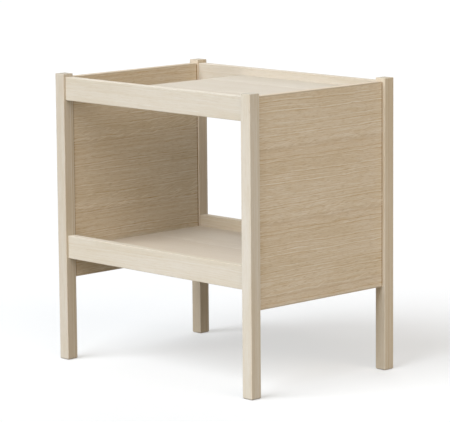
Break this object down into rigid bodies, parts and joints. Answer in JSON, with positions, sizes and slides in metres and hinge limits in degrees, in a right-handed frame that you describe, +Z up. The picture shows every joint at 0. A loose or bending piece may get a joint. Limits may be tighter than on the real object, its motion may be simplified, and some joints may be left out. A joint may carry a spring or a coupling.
{
  "type": "side table",
  "caption": "Pale oak side table with slim square legs, set-back rails, veneered side panels, a recessed top beside an open magazine slot, and a low shelf.",
  "frame": {"origin": "on the floor, under the middle of the table", "axes": "+Z up, -Y the front, +X to the right seen from the front; the magazine slot is at -X"},
  "size_m": [0.42, 0.298, 0.44],
  "materials": {
    "solid_oak": "white-oiled, planed",
    "oak_veneer": "white-oiled, sliced",
    "board_core": "raw fibreboard",
    "beech_dowel": "raw, turned",
    "nylon_glide": "moulded"
  },
  "bodies": {
    "root": {"glide_front_left": "nylon_glide", "glide_front_right": "nylon_glide", "glide_rear_left": "nylon_glide", "glide_rear_right": "nylon_glide", "leg_front_left": "solid_oak", "leg_front_right": "solid_oak", "leg_rear_left": "solid_oak", "leg_rear_right": "solid_oak", "rail_front_lower": "solid_oak", "rail_front_upper": "solid_oak", "rail_rear_lower": "solid_oak", "rail_rear_upper": "solid_oak", "shelf_core": "board_core", "shelf_lower_veneer": "oak_veneer", "shelf_upper_veneer": "oak_veneer", "side_panel_left_bottom_lipping": "solid_oak", "side_panel_left_core": "board_core", "side_panel_left_dowels": "beech_dowel", "side_panel_left_inner_veneer": "oak_veneer", "side_panel_left_outer_veneer": "oak_veneer", "side_panel_left_top_lipping": "solid_oak", "side_panel_right_bottom_lipping": "solid_oak", "side_panel_right_core": "board_core", "side_panel_right_dowels": "beech_dowel", "side_panel_right_inner_veneer": "oak_veneer", "side_panel_right_outer_veneer": "oak_veneer", "side_panel_right_top_lipping": "solid_oak", "table_top_core": "board_core", "table_top_lower_veneer": "oak_veneer", "table_top_slot_lipping": "solid_oak", "table_top_upper_veneer": "oak_veneer"}
  },
  "joints": []
}
